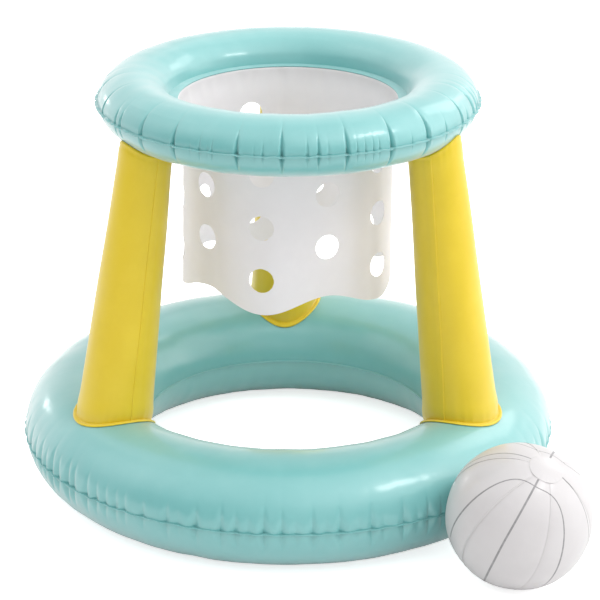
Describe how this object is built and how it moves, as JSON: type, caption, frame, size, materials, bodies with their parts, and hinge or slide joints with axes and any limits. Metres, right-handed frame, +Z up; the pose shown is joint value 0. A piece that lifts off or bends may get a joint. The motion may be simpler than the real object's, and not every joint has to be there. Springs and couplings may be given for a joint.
{
  "type": "floating basketball hoop",
  "caption": "Inflatable pool basketball hoop: a wide floating ring, three tapered legs, a small top ring with a holed net skirt, and a loose ball.",
  "frame": {"origin": "on the hoop's axis, in the plane that the base ring stands on", "axes": "+Z up along the hoop's axis; the front of the hoop, between two legs, faces -Y"},
  "size_m": [0.6942, 0.7501, 0.5316],
  "materials": {
    "teal_vinyl": "soft glossy vinyl film, welded seams with puckers",
    "yellow_vinyl": "soft glossy vinyl film",
    "net_vinyl": "satin vinyl sheet with punched holes",
    "ball_vinyl": "glossy vinyl film with grey printed ball lines",
    "valve_vinyl": "soft moulded vinyl, satin"
  },
  "bodies": {
    "hoop": {"base_ring_upper_film": "teal_vinyl", "base_ring_lower_film": "teal_vinyl", "top_ring_upper_film": "teal_vinyl", "top_ring_lower_film": "teal_vinyl", "leg_back_film": "yellow_vinyl", "leg_back_foot_patch": "yellow_vinyl", "leg_left_film": "yellow_vinyl", "leg_left_foot_patch": "yellow_vinyl", "leg_right_film": "yellow_vinyl", "leg_right_foot_patch": "yellow_vinyl", "net_skirt": "net_vinyl", "base_valve_seat": "valve_vinyl", "top_valve_seat": "valve_vinyl"},
    "ball": {"ball_gore_1": "ball_vinyl", "ball_gore_2": "ball_vinyl", "ball_gore_3": "ball_vinyl", "ball_gore_4": "ball_vinyl", "ball_gore_5": "ball_vinyl", "ball_gore_6": "ball_vinyl", "ball_cap_upper": "ball_vinyl", "ball_cap_lower": "ball_vinyl", "ball_valve_seat": "valve_vinyl"},
    "base_valve_stem": {"base_valve_stem": "valve_vinyl"},
    "base_valve_plug": {"base_valve_plug": "valve_vinyl"},
    "base_valve_flap": {"base_valve_flap": "valve_vinyl"},
    "top_valve_stem": {"top_valve_stem": "valve_vinyl"},
    "top_valve_plug": {"top_valve_plug": "valve_vinyl"},
    "top_valve_flap": {"top_valve_flap": "valve_vinyl"},
    "ball_valve_stem": {"ball_valve_stem": "valve_vinyl"},
    "ball_valve_plug": {"ball_valve_plug": "valve_vinyl"},
    "ball_valve_flap": {"ball_valve_flap": "valve_vinyl"}
  },
  "joints": [
    {"name": "ball_lift", "type": "slide", "parent": "hoop", "child": "ball", "axis": [0, 0, 1], "range_m": [0, 0.6]},
    {"name": "base_valve_pull", "type": "slide", "parent": "hoop", "child": "base_valve_stem", "axis": [-0.4524, 0.6461, 0.6148], "range_m": [0, 0.009]},
    {"name": "base_plug_hinge", "type": "hinge", "parent": "base_valve_stem", "child": "base_valve_plug", "pos_m": [-0.1834, 0.26192, 0.11586], "axis": [0.8191, 0.5736, 0], "range_deg": [0, 120]},
    {"name": "base_flap_hinge", "type": "hinge", "parent": "base_valve_stem", "child": "base_valve_flap", "pos_m": [-0.18092, 0.25838, 0.09195], "axis": [0.8191, 0.5736, 0], "range_deg": [0, 60], "stiffness_Nm_per_rad": 0.00005, "springref_deg": -17.19},
    {"name": "top_valve_pull", "type": "slide", "parent": "hoop", "child": "top_valve_stem", "axis": [-0.3299, 0.8166, 0.4737], "range_m": [0, 0.009]},
    {"name": "top_plug_hinge", "type": "hinge", "parent": "top_valve_stem", "child": "top_valve_plug", "pos_m": [-0.08567, 0.21204, 0.52209], "axis": [0.9272, 0.3746, 0], "range_deg": [0, 120]},
    {"name": "top_flap_hinge", "type": "hinge", "parent": "top_valve_stem", "child": "top_valve_flap", "pos_m": [-0.08257, 0.20437, 0.49925], "axis": [0.9272, 0.3746, 0], "range_deg": [0, 60], "stiffness_Nm_per_rad": 0.00005, "springref_deg": -17.19},
    {"name": "ball_valve_pull", "type": "slide", "parent": "ball", "child": "ball_valve_stem", "axis": [0.4381, 0.7313, 0.5227], "range_m": [0, 0.009]},
    {"name": "ball_plug_hinge", "type": "hinge", "parent": "ball_valve_stem", "child": "ball_valve_plug", "pos_m": [0.31144, -0.26662, 0.14144], "axis": [0.8836, -0.2434, -0.4], "range_deg": [0, 120]},
    {"name": "ball_flap_hinge", "type": "hinge", "parent": "ball_valve_stem", "child": "ball_valve_flap", "pos_m": [0.30083, -0.26953, 0.11979], "axis": [0.8836, -0.2434, -0.4], "range_deg": [0, 60], "stiffness_Nm_per_rad": 0.00005, "springref_deg": -17.19}
  ]
}
